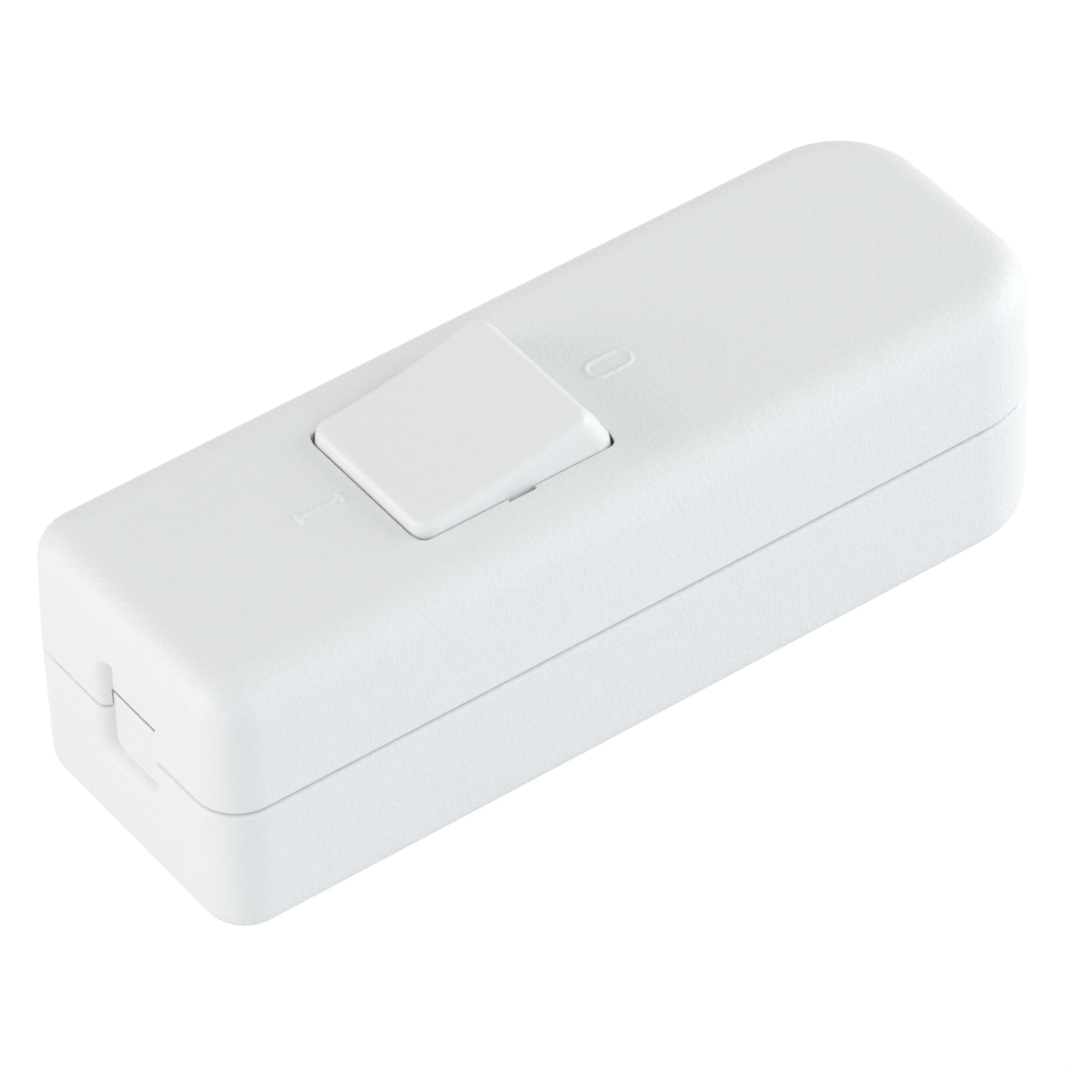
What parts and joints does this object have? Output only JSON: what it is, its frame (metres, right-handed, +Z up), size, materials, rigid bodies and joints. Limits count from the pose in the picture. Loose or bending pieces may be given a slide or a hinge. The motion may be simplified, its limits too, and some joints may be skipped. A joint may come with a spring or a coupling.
{
  "type": "inline cord switch",
  "caption": "White inline cord switch: long rounded plastic housing split at mid-height, tilting rocker in the top, flared knock-out cord entries in its ends, rocking contacts inside.",
  "frame": {"origin": "middle of the underside", "axes": "+X along the housing towards the end with the rounder corners, +Z up through the rocker"},
  "size_m": [0.0826, 0.028, 0.0296],
  "materials": {
    "housing_plastic": "white, fine matte grain",
    "rocker_plastic": "white, satin",
    "clamp_plastic": "white, satin",
    "plunger_plastic": "natural, satin",
    "screw_steel": "zinc plated",
    "spring_steel": "drawn wire",
    "terminal_brass": "machined",
    "contact_brass": "rolled strip",
    "contact_silver": "silver, satin"
  },
  "bodies": {
    "housing": {"upper_shell": "housing_plastic", "lower_shell": "housing_plastic", "cover_screws": "screw_steel", "near_cord_clamp": "clamp_plastic", "far_cord_clamp": "clamp_plastic", "cord_clamp_screws": "screw_steel", "terminal_screws": "screw_steel", "through_terminal": "terminal_brass", "near_left_terminal": "terminal_brass", "far_left_terminal": "terminal_brass", "left_pivot_contact": "contact_brass", "left_fixed_contact": "contact_brass", "left_fixed_tip": "contact_silver", "near_right_terminal": "terminal_brass", "far_right_terminal": "terminal_brass", "right_pivot_contact": "contact_brass", "right_fixed_contact": "contact_brass", "right_fixed_tip": "contact_silver"},
    "rocker": {"rocker": "rocker_plastic", "left_spring": "spring_steel", "right_spring": "spring_steel"},
    "left_plunger": {"left_plunger": "plunger_plastic"},
    "left_rocking_contact": {"left_rocking_contact": "contact_brass", "left_moving_tip": "contact_silver"},
    "right_plunger": {"right_plunger": "plunger_plastic"},
    "right_rocking_contact": {"right_rocking_contact": "contact_brass", "right_moving_tip": "contact_silver"}
  },
  "joints": [
    {"name": "rocker_tilt", "type": "hinge", "parent": "housing", "child": "rocker", "pos_m": [-0.0085, 0, 0.0227], "axis": [0, 1, 0], "range_deg": [0, 20.8]},
    {"name": "left_contact_rock", "type": "hinge", "parent": "housing", "child": "left_rocking_contact", "pos_m": [-0.0085, 0.004, 0.00903], "axis": [0, 1, 0], "range_deg": [-18, 0]},
    {"name": "left_plunger_slide", "type": "slide", "parent": "rocker", "child": "left_plunger", "axis": [-0.1805, 0, 0.9836], "range_m": [0, 0.0008], "stiffness_N_per_m": 5, "springref_m": -0.0005, "deforming": ["left_spring"]},
    {"name": "right_contact_rock", "type": "hinge", "parent": "housing", "child": "right_rocking_contact", "pos_m": [-0.0085, -0.004, 0.00903], "axis": [0, 1, 0], "range_deg": [-18, 0]},
    {"name": "right_plunger_slide", "type": "slide", "parent": "rocker", "child": "right_plunger", "axis": [-0.1805, 0, 0.9836], "range_m": [0, 0.0008], "stiffness_N_per_m": 5, "springref_m": -0.0005, "deforming": ["right_spring"]}
  ],
  "couplings": [
    {"joint": "left_contact_rock", "follows": "rocker_tilt", "ratio": -0.86538},
    {"joint": "right_contact_rock", "follows": "rocker_tilt", "ratio": -0.86538}
  ]
}
